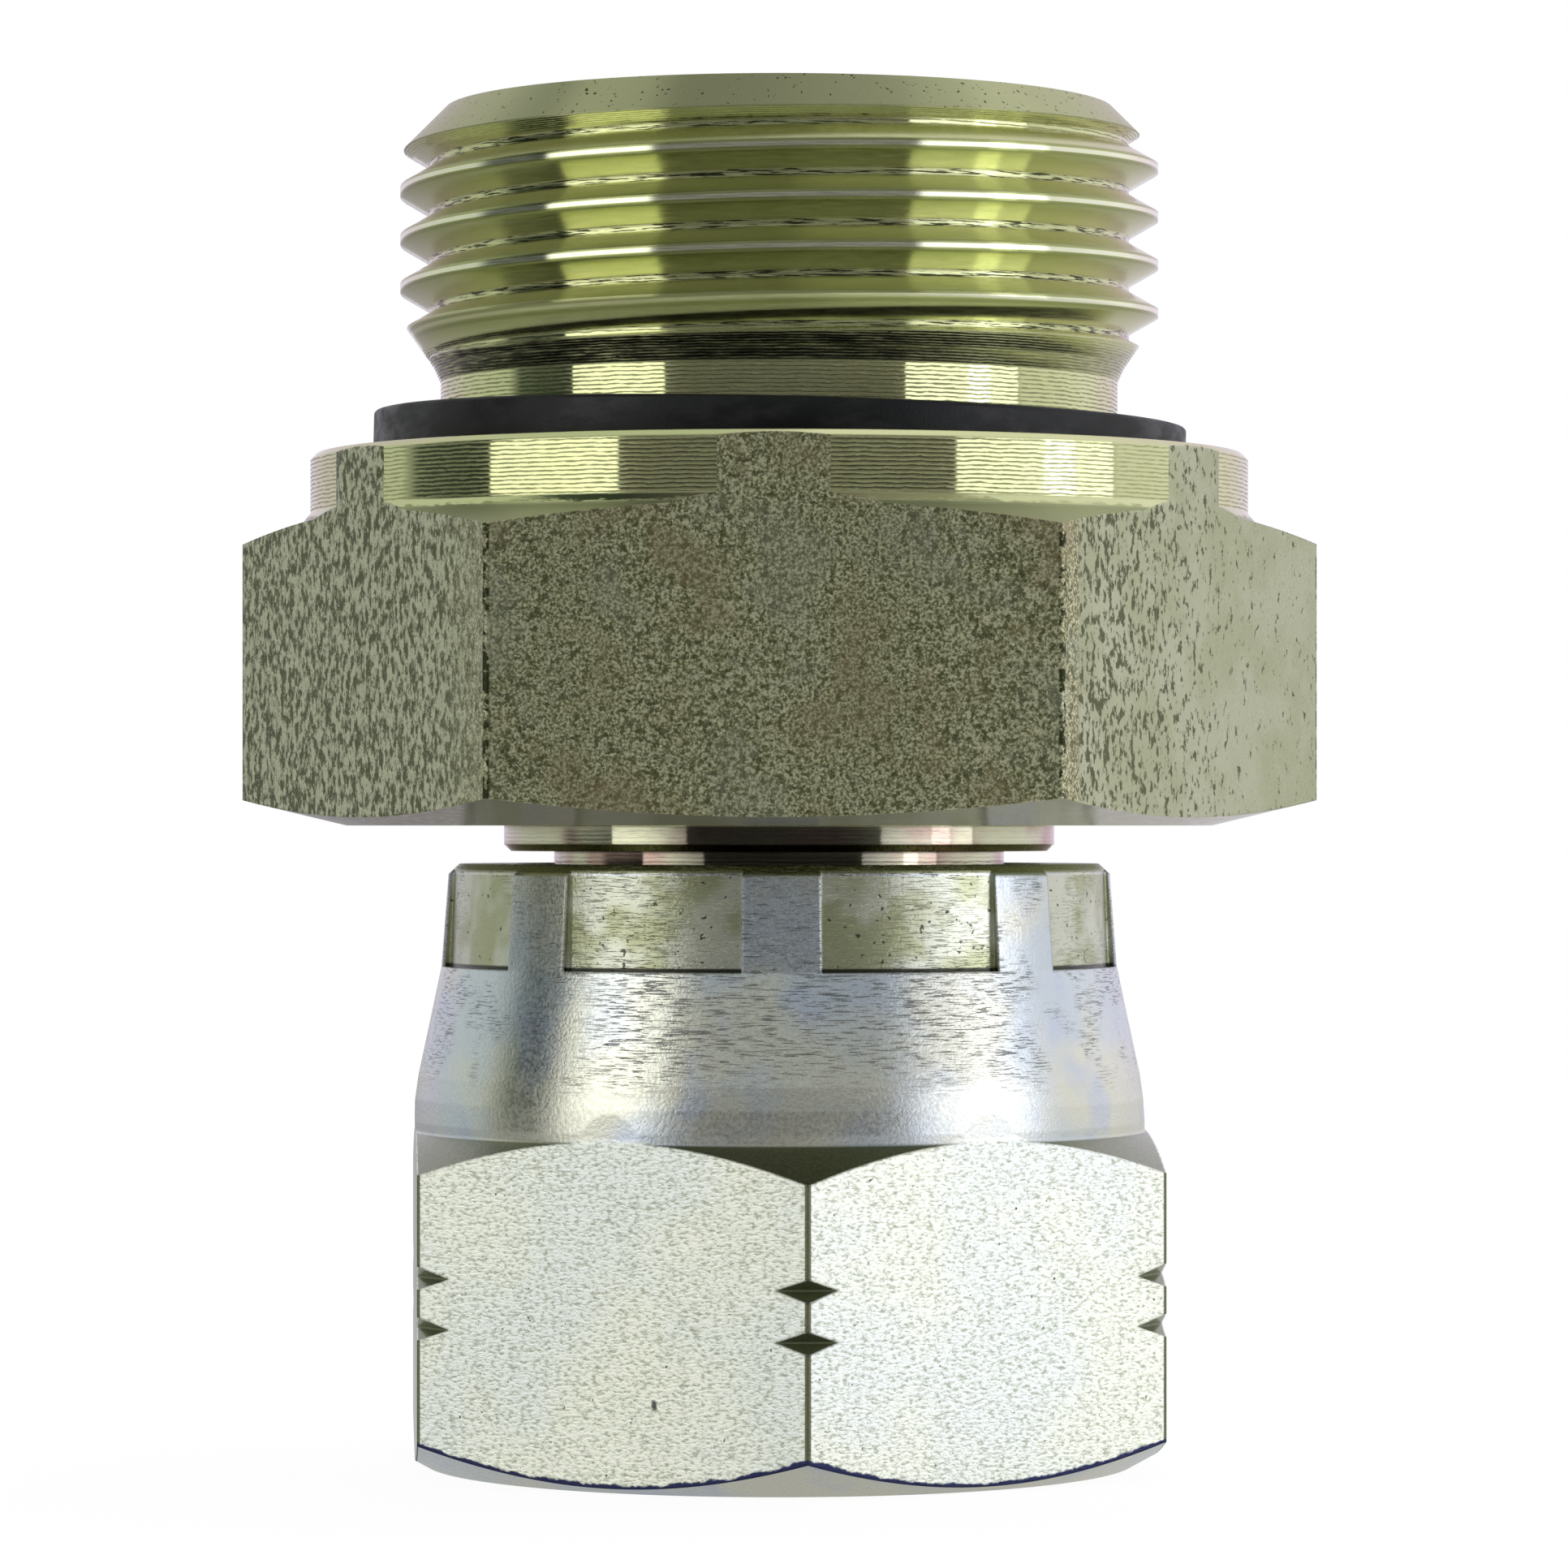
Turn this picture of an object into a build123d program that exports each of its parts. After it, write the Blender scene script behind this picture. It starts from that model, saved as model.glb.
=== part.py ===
"""A straight hydraulic adapter: a threaded port stud with its own seal ring on one end
and a crimped-on swivel nut on the other.

Three pieces make it up. The adapter body is turned in one piece from hexagon bar: threaded
stud, undercut, flange with a seal seat, hexagon, collar, neck and a nose with a 60 degree
cone. The stud seal is a rubber ring in the seat of the flange. The swivel nut turns on the
neck, held by the lip that eight crimping jaws have pressed in behind the nose's shoulder.

Millimetres. The axis of the adapter is Z. The mouth of the nut lies on Z = 0 and the stud
points up. The front is -Y, where a flat of the body and a corner of the nut face.
"""

import os
from math import radians, sqrt, tan

from build123d import *

# Swivel nut, inside. The wall of the threaded bore lies on the thread's major diameter.
nut_thread_major_radius = 13.22
nut_mouth_chamfer = 0.6  # 45 degree countersink at the mouth
nut_thread_top = 10.5
cavity_relief = 0.23  # how much wider than the thread the cavity round the nose is
lip_depth = 2.05  # how far the crimped lip reaches in from the cavity's wall
lip_length = 7.0
lip_edge_chamfer = 0.25

# Swivel nut, outside
nut_length = 26.3  # mouth to back face
nut_flat_wall = 2.78  # from the thread out to the flats; 32 mm across flats with this thread
nut_turn = 3.7  # degrees that a corner is turned from the front towards +X, at rest
nut_foot_land = 0.45  # how far the flat ring on the mouth end stays inside the flats
nut_foot_slope = 29.0  # degrees of the chamfer from the flat ring up to the corners
nut_shoulder_height = 14.65  # where the hexagon's upper chamfer meets the barrel
nut_shoulder_slope = 33.0  # degrees of that chamfer, down to the corners
barrel_overhang = 0.06  # the barrel is just wider than the flats, so they shave it
barrel_straight_length = 0.4  # from the shoulder to where the barrel starts to lean in
barrel_bend_length = 1.0  # each of the short cones that round the bend
barrel_taper = 12.0  # degrees that the barrel leans in above the bend

# Crimp at the back of the nut
crimp_wall = 3.1  # lip to the ribs between the dents, at the back face
crimp_taper = 4.3  # degrees that the ribs lean in
crimp_count = 8  # one dent for each jaw
crimp_height = 4.5  # length of the dents, from the back face
crimp_dent_angle = 32.0  # degrees of the circle under one jaw
crimp_turn = 0.4  # degrees that a rib is turned from the front towards +X
crimp_dent_top_depth = 0.2  # below the ribs at the back face
crimp_dent_taper = 2.2  # degrees that a dent leans in
nut_back_edge = 0.45  # chamfer round the back face

# Identification grooves, which reach only the hexagon's corners
groove_count = 2
groove_first_height = 6.6  # middle of the lower groove
groove_spacing = 2.15
groove_depth = 0.75  # below the corners
groove_angle = 70.0  # degrees between the sides

# Adapter body, below the hexagon
swivel_gap = 0.56  # between the back of the nut and the collar
collar_height = 1.11
collar_radius = 12.1
collar_edge_chamfer = 0.3
neck_clearance = 1.5  # between the neck and the crimped lip
shoulder_clearance = 0.3  # between the nose's shoulder and the crimped lip
nose_side_clearance = 0.35  # between the nose's rim and the cavity
nose_rim_height = 3.05
nose_rim_edge = 0.4
nose_land_width = 2.8  # flat ring between the rim and the cone
nose_cone_depth = 1.8  # how much narrower the cone is at its tip
nose_cone_angle = 60.0  # degrees between the sides of the cone

# Adapter body, hexagon and flange
body_flats = 41.0  # hexagon, across flats
body_turn = -0.6  # degrees that a flat is turned from the front towards +X
body_edge_radius = 0.25  # rounding along the six corners
hex_height = 13.3  # underside of the hexagon to the flange
hex_foot_land = 1.5  # how far the flat ring on the underside stays inside the flats
hex_foot_slope = 13.5  # degrees of the lower chamfer
hex_head_slope = 17.0  # degrees of the upper chamfer
flange_height = 2.93
flange_rim_width = 2.58  # from the seal's seat out; the flange is just wider than the flats
flange_edge_chamfer = 0.25
flange_root_chamfer = 0.35

# Stud seal
seal_width = 2.9  # across the ring's section
seal_height = 1.9
seal_edge_chamfer = 0.15
seal_seat_depth = 0.75
seal_inner_clearance = 0.08
seal_outer_clearance = 0.15

# Threaded stud
stud_length = 15.2  # flange face to stud end
undercut_depth = 1.78  # below the thread's crests
undercut_length = 3.2  # flange face to the foot of the thread's run-out
runout_angle = 35.0  # degrees between the run-out cone and the axis
runout_bend_length = 0.7  # short cone that rounds the foot of the run-out
runout_bend_angle = 25.0  # degrees between that short cone and the axis
thread_major_radius = 16.65
thread_pitch = 2.117
thread_angle = 60.0  # degrees between the flanks
thread_depth = 1.28
thread_root_flat = 0.26
thread_groove_height = 0.95  # middle of the groove above the flange face, on +X
stud_end_chamfer = 1.97  # 45 degree lead-in
stud_bore_edge = 0.5  # chamfer on the bore's edge at the stud end

# Flow passage
stud_bore_radius = 10.25
stud_bore_depth = 27.0
drill_point_angle = 118.0  # degrees between the sides of the cone that the drill leaves
nose_wall = 2.15  # neck to the narrow bore through the nose

# Radii that follow from the sizes above
undercut_radius = thread_major_radius - undercut_depth
seal_inner_radius = undercut_radius + seal_inner_clearance
seal_radius = seal_inner_radius + seal_width
seat_radius = seal_radius + seal_outer_clearance
flange_radius = seat_radius + flange_rim_width
hex_foot_radius = body_flats / 2 - hex_foot_land
body_corner_radius = body_flats / sqrt(3)
cavity_radius = nut_thread_major_radius + cavity_relief
lip_radius = cavity_radius - lip_depth
neck_radius = lip_radius - neck_clearance
nose_bore_radius = neck_radius - nose_wall
nut_flats = 2 * (nut_thread_major_radius + nut_flat_wall)
nut_corner_radius = nut_flats / sqrt(3)
nut_foot_radius = nut_flats / 2 - nut_foot_land
barrel_radius = nut_flats / 2 + barrel_overhang
crimp_radius = lip_radius + crimp_wall

# Heights along the axis that follow from the sizes above
collar_base = nut_length + swivel_gap
hex_base = collar_base + collar_height
flange_base = hex_base + hex_height
flange_face = flange_base + flange_height
stud_end = flange_face + stud_length
seal_seat = flange_face - seal_seat_depth
undercut_top = flange_face + undercut_length


def fall(run, angle):
    """Distance gained at a right angle to a run, by a line at this many degrees to it."""
    return run * tan(radians(angle))


# %% Threaded stud, cut from a rod that is longer than the stud at both ends
thread_root_radius = thread_major_radius - thread_depth
groove_foot = flange_face + thread_groove_height
groove_over = 0.3  # how far the cutter stands out of the rod
groove_half_root = thread_root_flat / 2
groove_half_top = groove_half_root + fall(thread_depth + groove_over, thread_angle / 2)
rod_base = groove_foot - thread_pitch
rod_top = stud_end + 2 * thread_pitch
runout_bend_rise = fall(runout_bend_length, runout_bend_angle)
runout_top = undercut_top + runout_bend_length + (undercut_depth - runout_bend_rise) / tan(
    radians(runout_angle)
)

with BuildPart() as stud:
    with BuildSketch(Plane.XY.offset(rod_base)):
        Circle(thread_major_radius)
    extrude(amount=rod_top - rod_base)
    with BuildLine(Plane.XY.offset(groove_foot)) as thread_path:
        Helix(
            pitch=thread_pitch,
            height=rod_top - thread_pitch - groove_foot,
            radius=thread_root_radius,
        )
    with BuildSketch(Plane.XZ) as thread_section:
        with BuildLine():
            Polyline(
                (thread_root_radius, groove_foot - groove_half_root),
                (thread_root_radius, groove_foot + groove_half_root),
                (thread_major_radius + groove_over, groove_foot + groove_half_top),
                (thread_major_radius + groove_over, groove_foot - groove_half_top),
                close=True,
            )
        make_face()
    sweep(path=thread_path.line, is_frenet=True, mode=Mode.SUBTRACT)

    # turned down to the undercut, the run-out and the lead-in chamfer
    with BuildSketch(Plane.XZ):
        with BuildLine():
            Polyline(
                (0, seal_seat),
                (undercut_radius, seal_seat),
                (undercut_radius, undercut_top),
                (undercut_radius + runout_bend_rise, undercut_top + runout_bend_length),
                (thread_major_radius, runout_top),
                (thread_major_radius, stud_end - stud_end_chamfer),
                (thread_major_radius - stud_end_chamfer, stud_end),
                (0, stud_end),
                close=True,
            )
        make_face()
    revolve(axis=Axis.Z, mode=Mode.INTERSECT)

# %% Adapter body
# The lip that the crimp presses in has a 45 degree inner face. The shoulder of the nose lies
# behind it and parallel to it, so radius plus height is the same all along the shoulder.
lip_base = nut_length - lip_length
shoulder_sum = lip_radius + lip_base - shoulder_clearance * sqrt(2)
nose_rim_radius = cavity_radius - nose_side_clearance
nose_rim_top = shoulder_sum - nose_rim_radius
nose_land_base = nose_rim_top - nose_rim_height
nose_land_radius = nose_rim_radius - nose_land_width
nose_tip = nose_land_base - nose_cone_depth / tan(radians(nose_cone_angle / 2))
nose_tip_radius = nose_land_radius - nose_cone_depth
hex_head_corner = flange_base - fall(body_corner_radius - flange_radius, hex_head_slope)
flange_root = flange_base - fall(flange_root_chamfer, hex_head_slope)
hex_foot_corner = hex_base + fall(body_corner_radius - hex_foot_radius, hex_foot_slope)
bore_step = stud_end - stud_bore_depth
drill_point = (stud_bore_radius - nose_bore_radius) / tan(radians(drill_point_angle / 2))

with BuildPart() as adapter_body:
    # hexagon bar, rounded along its corners
    with BuildSketch(Plane.XY.offset(hex_base)) as bar_section:
        RegularPolygon(radius=body_corner_radius, side_count=6, rotation=body_turn)
        fillet(bar_section.vertices(), radius=body_edge_radius)
    extrude(amount=flange_face - hex_base)

    # both chamfers and the flange are turned on it, and the seal seat is cut in the flange
    with BuildSketch(Plane.XZ):
        with BuildLine():
            Polyline(
                (0, hex_base),
                (hex_foot_radius, hex_base),
                (body_corner_radius, hex_foot_corner),
                (body_corner_radius, hex_head_corner),
                (flange_radius + flange_root_chamfer, flange_root),
                (flange_radius, flange_base + flange_root_chamfer),
                (flange_radius, flange_face - flange_edge_chamfer),
                (flange_radius - flange_edge_chamfer, flange_face),
                (seat_radius, flange_face),
                (seat_radius, seal_seat),
                (0, seal_seat),
                close=True,
            )
        make_face()
    revolve(axis=Axis.Z, mode=Mode.INTERSECT)

    # collar, neck and nose
    with BuildSketch(Plane.XZ):
        with BuildLine():
            Polyline(
                (0, hex_base),
                (collar_radius, hex_base),
                (collar_radius, collar_base + collar_edge_chamfer),
                (collar_radius - collar_edge_chamfer, collar_base),
                (neck_radius, collar_base),
                (neck_radius, shoulder_sum - neck_radius),
                (nose_rim_radius, nose_rim_top),
                (nose_rim_radius, nose_land_base + nose_rim_edge),
                (nose_rim_radius - nose_rim_edge, nose_land_base),
                (nose_land_radius, nose_land_base),
                (nose_tip_radius, nose_tip),
                (0, nose_tip),
                close=True,
            )
        make_face()
    revolve(axis=Axis.Z)

    add(stud.part)

    # flow passage, wide from the stud's end and narrow through the nose
    with BuildSketch(Plane.XZ):
        with BuildLine():
            Polyline(
                (0, nose_tip),
                (nose_bore_radius, nose_tip),
                (nose_bore_radius, bore_step - drill_point),
                (stud_bore_radius, bore_step),
                (stud_bore_radius, stud_end - stud_bore_edge),
                (stud_bore_radius + stud_bore_edge, stud_end),
                (0, stud_end),
                close=True,
            )
        make_face()
    revolve(axis=Axis.Z, mode=Mode.SUBTRACT)

# %% Stud seal
with BuildPart() as seal_ring:
    with BuildSketch(Plane.XY.offset(seal_seat)):
        Circle(seal_radius)
        Circle(seal_inner_radius, mode=Mode.SUBTRACT)
    extrude(amount=seal_height)
    chamfer(seal_ring.edges().group_by(Axis.Z)[-1], length=seal_edge_chamfer)

# %% Swivel nut
foot_corner = fall(nut_corner_radius - nut_foot_radius, nut_foot_slope)
shoulder_corner = nut_shoulder_height - fall(
    nut_corner_radius - barrel_radius, nut_shoulder_slope
)
bend_base = nut_shoulder_height + barrel_straight_length
bend_middle = bend_base + barrel_bend_length
bend_middle_radius = barrel_radius - fall(barrel_bend_length, barrel_taper / 3)
bend_top = bend_middle + barrel_bend_length
bend_top_radius = bend_middle_radius - fall(barrel_bend_length, 2 * barrel_taper / 3)
# the leaning barrel meets the ribs of the crimp where both lines have the same radius
rib_base = (
    bend_top_radius
    - crimp_radius
    + fall(bend_top, barrel_taper)
    - fall(nut_length, crimp_taper)
) / (fall(1, barrel_taper) - fall(1, crimp_taper))
rib_base_radius = crimp_radius + fall(nut_length - rib_base, crimp_taper)
dent_base = nut_length - crimp_height
dent_top_radius = crimp_radius - crimp_dent_top_depth
dent_base_radius = dent_top_radius + fall(crimp_height, crimp_dent_taper)
groove_floor = nut_corner_radius - groove_depth
groove_half_width = fall(groove_depth, groove_angle / 2)

# what one crimping jaw presses away, from +X on
first_dent = crimp_turn - 90 + 180 / crimp_count - crimp_dent_angle / 2
with BuildPart() as jaw:
    with BuildSketch(Plane.XZ):
        with BuildLine():
            Polyline(
                (dent_base_radius, dent_base),
                (dent_top_radius, nut_length),
                (barrel_radius, nut_length),
                (barrel_radius, dent_base),
                close=True,
            )
        make_face()
    revolve(axis=Axis.Z, revolution_arc=crimp_dent_angle)

with BuildPart() as swivel_nut:
    with BuildSketch():
        RegularPolygon(radius=nut_corner_radius, side_count=6, rotation=nut_turn - 90)
    extrude(amount=nut_length)

    # foot and shoulder chamfers, and the barrel that the crimp has pressed in
    with BuildSketch(Plane.XZ):
        with BuildLine():
            Polyline(
                (0, 0),
                (nut_foot_radius, 0),
                (nut_corner_radius, foot_corner),
                (nut_corner_radius, shoulder_corner),
                (barrel_radius, nut_shoulder_height),
                (barrel_radius, bend_base),
                (bend_middle_radius, bend_middle),
                (bend_top_radius, bend_top),
                (rib_base_radius, rib_base),
                (crimp_radius + fall(nut_back_edge, crimp_taper), nut_length - nut_back_edge),
                (crimp_radius - nut_back_edge, nut_length),
                (0, nut_length),
                close=True,
            )
        make_face()
    revolve(axis=Axis.Z, mode=Mode.INTERSECT)

    # identification grooves
    for groove in range(groove_count):
        groove_height = groove_first_height + groove * groove_spacing
        with BuildSketch(Plane.XZ):
            with BuildLine():
                Polyline(
                    (groove_floor, groove_height),
                    (nut_corner_radius + groove_depth, groove_height + 2 * groove_half_width),
                    (nut_corner_radius + groove_depth, groove_height - 2 * groove_half_width),
                    close=True,
                )
            make_face()
        revolve(axis=Axis.Z, mode=Mode.SUBTRACT)

    # a dent under each jaw; the ribs between the jaws keep the barrel's shape
    with PolarLocations(0, crimp_count, start_angle=first_dent):
        add(jaw.part, mode=Mode.SUBTRACT)

    # countersunk threaded bore, the cavity round the nose, and the lip behind it
    with BuildSketch(Plane.XZ):
        with BuildLine():
            Polyline(
                (0, 0),
                (nut_thread_major_radius + nut_mouth_chamfer, 0),
                (nut_thread_major_radius, nut_mouth_chamfer),
                (nut_thread_major_radius, nut_thread_top),
                (cavity_radius, nut_thread_top + cavity_relief),
                (cavity_radius, lip_base - lip_depth),
                (lip_radius, lip_base),
                (lip_radius, nut_length - lip_edge_chamfer),
                (lip_radius + lip_edge_chamfer, nut_length),
                (0, nut_length),
                close=True,
            )
        make_face()
    revolve(axis=Axis.Z, mode=Mode.SUBTRACT)

os.makedirs("parts", exist_ok=True)
adapter_body.part.label = "adapter_body"
export_step(adapter_body.part, "parts/adapter_body.step")
seal_ring.part.label = "seal_ring"
export_step(seal_ring.part, "parts/seal_ring.step")
swivel_nut.part.label = "swivel_nut"
export_step(swivel_nut.part, "parts/swivel_nut.step")
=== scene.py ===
# %% [markdown]
# # A straight hydraulic adapter, finished and lit
# The adapter has three pieces: a turned steel body with a threaded stud and a hexagon, a black
# rubber ring that seals the stud against its port, and a swivel nut that is crimped on.
# Their shapes come packed from the CAD source. This script gives them their finishes, adds
# what is too fine for the solids, and lights and frames them as the photograph does.

from math import cos, pi, radians, sin, tan

import bmesh
import bpy
from mathutils import Matrix, Vector


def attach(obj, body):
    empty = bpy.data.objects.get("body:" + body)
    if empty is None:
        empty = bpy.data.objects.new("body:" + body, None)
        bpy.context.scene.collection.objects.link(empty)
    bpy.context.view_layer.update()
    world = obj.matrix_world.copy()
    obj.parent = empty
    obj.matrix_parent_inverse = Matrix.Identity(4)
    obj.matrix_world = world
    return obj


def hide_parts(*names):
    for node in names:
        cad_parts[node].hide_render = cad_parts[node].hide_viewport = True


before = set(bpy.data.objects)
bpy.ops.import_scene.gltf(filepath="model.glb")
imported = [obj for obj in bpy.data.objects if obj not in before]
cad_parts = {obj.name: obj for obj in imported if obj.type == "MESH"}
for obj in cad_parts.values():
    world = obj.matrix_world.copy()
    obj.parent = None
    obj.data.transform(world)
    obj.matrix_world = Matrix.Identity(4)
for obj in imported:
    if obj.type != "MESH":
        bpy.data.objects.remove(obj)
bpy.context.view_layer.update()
MM = 0.001
print("nodes:", sorted(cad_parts))

# %% [markdown]
# ## Camera
# The photograph was taken from about half the adapter's height, from close by. Upright edges
# stay upright, flat rings show as thin ellipses, and what is nearer looks a little larger.
# The distance comes from that last effect, and the lens from the width of the frame at the
# axis. Tilting the camera would also bring the part into the frame, but then its upright edges
# would lean, so a small shift of the lens does it.

# %% Set the camera
EYE_DISTANCE = 0.288  # metres
EYE_HEIGHT = 0.0279  # metres
SENSOR_WIDTH = 36.0  # millimetres
LENS = 150.26  # millimetres
SHIFT_RIGHT = 0.0031  # share of the frame's width
SHIFT_UP = 0.0275
NEAREST = 0.01  # metres

camera_data = bpy.data.cameras.new("camera")
camera_data.sensor_width = SENSOR_WIDTH
camera_data.lens = LENS
camera_data.shift_x = SHIFT_RIGHT
camera_data.shift_y = SHIFT_UP
camera_data.clip_start = NEAREST
camera = bpy.data.objects.new("camera", camera_data)
camera.location = (0, -EYE_DISTANCE, EYE_HEIGHT)
camera.rotation_euler = (pi / 2, 0, 0)
bpy.context.collection.objects.link(camera)
bpy.context.scene.camera = camera
print("frame width at the axis:", round(SENSOR_WIDTH / LENS * EYE_DISTANCE / MM, 1), "mm")

# %% [markdown]
# ## A helper for node trees
# Every finish here is a small chain of nodes: a pattern from the position on the piece, a
# threshold, a mix. Wiring these by hand takes many lines, so one helper class adds a node,
# feeds its inputs with numbers or with other nodes' outputs, and returns its output. A mask
# is a number from 0 to 1 that says how far a point belongs to a zone.

# %% Wire nodes with little code
NUMBER_SOCKETS = (0, 2, 3)  # a Mix node has one set of inputs for each kind of data
COLOUR_SOCKETS = (0, 6, 7)
GIVES_NUMBER = ("LENGTH", "DISTANCE", "DOT_PRODUCT")


class Wiring:
    """Adds nodes to a tree and links them as it goes."""

    def __init__(self, tree):
        self.tree = tree

    def add(self, kind, *inputs, **settings):
        node = self.tree.nodes.new("ShaderNode" + kind)
        for name, value in settings.items():
            setattr(node, name, value)
        for socket, value in zip(node.inputs, inputs):
            self.feed(socket, value)
        return node

    def feed(self, socket, value):
        if isinstance(value, bpy.types.NodeSocket):
            self.tree.links.new(value, socket)
        elif value is not None:
            socket.default_value = value

    def feed_by_name(self, node, values):
        for name, value in values.items():
            self.feed(node.inputs[name], value)

    def math(self, operation, *values, clamp=False):
        return self.add("Math", *values, operation=operation, use_clamp=clamp).outputs[0]

    def vector(self, operation, *values):
        node = self.add("VectorMath", *values, operation=operation)
        return node.outputs["Value" if operation in GIVES_NUMBER else "Vector"]

    def scale(self, vector, factor):
        node = self.add("VectorMath", vector, operation="SCALE")
        self.feed(node.inputs["Scale"], factor)
        return node.outputs["Vector"]

    def band(self, value, low, high, to_low=0.0, to_high=1.0):
        """A smooth step of value from low to high, which may also run downwards."""
        ends = (low, high, to_low, to_high)
        return self.add("MapRange", value, *ends, interpolation_type="SMOOTHSTEP").outputs[0]

    def window(self, value, rise, full, fade, gone):
        """A mask that grows from rise to full, and falls again from fade to gone."""
        return self.both(self.band(value, rise, full), self.band(value, gone, fade))

    def both(self, *masks):
        result = masks[0]
        for mask in masks[1:]:
            result = self.math("MULTIPLY", result, mask)
        return result

    def mix(self, factor, a, b):
        """Mixes two numbers."""
        node = self.add("Mix", data_type="FLOAT")
        for index, value in zip(NUMBER_SOCKETS, (factor, a, b)):
            self.feed(node.inputs[index], value)
        return node.outputs[0]

    def tint(self, factor, a, b):
        """Mixes two colours."""
        node = self.add("Mix", data_type="RGBA")
        for index, value in zip(COLOUR_SOCKETS, (factor, a, b)):
            if isinstance(value, tuple):
                value = (*value, 1.0)
            self.feed(node.inputs[index], value)
        return node.outputs[2]


print("wiring helpers:", [name for name in vars(Wiring) if not name.startswith("_")])

# %% [markdown]
# ## Floor
# The adapter stands on plain white. A bmesh grid with one square is enough for a floor, and it
# reaches so far that its edge is never seen. It isn't part of the object.

# %% Lay the floor
FLOOR_SIZE = 3.0  # metres from the middle to an edge

sheet = bmesh.new()
bmesh.ops.create_grid(sheet, x_segments=1, y_segments=1, size=FLOOR_SIZE)
floor_mesh = bpy.data.meshes.new("floor")
sheet.to_mesh(floor_mesh)
sheet.free()
floor = bpy.data.objects.new("floor", floor_mesh)
bpy.context.collection.objects.link(floor)
print("floor is", 2 * FLOOR_SIZE, "m wide")

# %% [markdown]
# The floor is a pale matt sheet that catches a faint shadow. A light that made it white would
# also burn out the steel, so it glows instead, and only for rays that Light Path picks out.
# The camera sees mostly glow, a little above white. Mirror rays see the sheet as the steel
# shows it: mid-grey, lighter near the part and to the right, and dark far in front.

# %% Let the floor glow
SHEET_GREY = (0.88, 0.88, 0.88, 1)
SHEET_ROUGHNESS = 0.9
SHEET_GLOSS = 0.1
FLOOR_GLOW = 0.86  # share of glow that the camera sees
GLOW_FOR_CAMERA = 1.08
WHITE = (1, 1, 1, 1)

floor_material = bpy.data.materials.new("white_sheet")
floor_material.use_nodes = True
w = Wiring(floor_material.node_tree)
sheet_shader = w.tree.nodes["Principled BSDF"]
sheet_shader.inputs["Base Color"].default_value = SHEET_GREY
sheet_shader.inputs["Roughness"].default_value = SHEET_ROUGHNESS
sheet_shader.inputs["Specular IOR Level"].default_value = SHEET_GLOSS
path = w.add("LightPath")
to_camera = path.outputs["Is Camera Ray"]
to_mirror = w.math(
    "ADD", path.outputs["Is Glossy Ray"], path.outputs["Is Transmission Ray"], clamp=True
)
on_floor = w.scale(w.add("TexCoord").outputs["Object"], 1 / MM)
floor_x, floor_y, _ = w.add("SeparateXYZ", on_floor).outputs
# each band runs between two places in millimetres, from one brightness to another
near_part = w.band(w.vector("LENGTH", on_floor), 55.0, 110.0, 0.56, 0.42)
to_the_right = w.band(floor_x, 0.0, 40.0, 0.0, 0.30)
far_in_front = w.band(floor_y, -500.0, -60.0, 0.06, 1.0)
sheet_in_steel = w.both(w.math("ADD", near_part, to_the_right), far_in_front)
glow = w.mix(to_camera, to_mirror, FLOOR_GLOW)
strength = w.mix(to_camera, sheet_in_steel, GLOW_FOR_CAMERA)
glow_shader = w.add("Emission", WHITE, strength)
sheet_mix = w.add("MixShader", glow, sheet_shader.outputs[0], glow_shader.outputs[0])
w.feed(w.tree.nodes["Material Output"].inputs["Surface"], sheet_mix.outputs[0])
floor.data.materials.append(floor_material)
print("floor glows", FLOOR_GLOW, "for the camera")

# %% [markdown]
# ## World
# Bright metal is drawn by what it mirrors. A round bar turned by an angle mirrors the room at
# twice that angle, so the bands on the collar and the flange map the room around the part:
# dark in front, a tall lamp on each side, a dark gap and a grey wall beyond the left lamp, a
# pale wall beyond the right one, and a pale backdrop behind. A panorama picture could hold
# all that, but a few colours in a row do too, and they can be tuned band by band. These two
# lists hold what isn't a lamp: the walls by compass angle, and the front by height.

# %% List the room's colours
# compass angle from the camera's side, towards +X, and what is seen there near the horizon
WALLS = (
    (-180, (0.82, 0.78, 0.88)),
    (-140, (0.76, 0.74, 0.82)),
    (-131, (0.74, 0.78, 0.74)),
    (-104, (0.70, 0.74, 0.70)),
    (-98, (0.06, 0.08, 0.07)),
    (-76, (0.04, 0.05, 0.05)),
    (-30, (0.20, 0.17, 0.17)),
    (0, (0.20, 0.20, 0.20)),
    (40, (0.22, 0.20, 0.22)),
    (86, (0.40, 0.40, 0.38)),
    (90, (0.98, 0.98, 1.04)),
    (131, (1.10, 1.10, 1.18)),
    (140, (1.00, 0.96, 1.08)),
    (180, (0.82, 0.78, 0.88)),
)
# height above the horizon in degrees, and what is seen there in front
FRONT = (
    (-90, (0.14, 0.14, 0.14)),
    (-6, (0.10, 0.10, 0.10)),
    (-2, (0.02, 0.02, 0.02)),
    (2, (0.03, 0.03, 0.03)),
    (4, (0.22, 0.20, 0.21)),
    (10, (0.15, 0.15, 0.15)),
    (22, (0.60, 0.64, 0.68)),
    (35, (0.56, 0.58, 0.60)),
    (60, (0.42, 0.42, 0.42)),
    (90, (0.36, 0.36, 0.36)),
)
print("the room has", len(WALLS), "stops round it and", len(FRONT), "stops in front")

# %% [markdown]
# A colour ramp turns a number from 0 to 1 into a colour, so an angle is first set on that
# scale. A new ramp comes with two stops. One of them is kept, because a ramp can't be empty.

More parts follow.
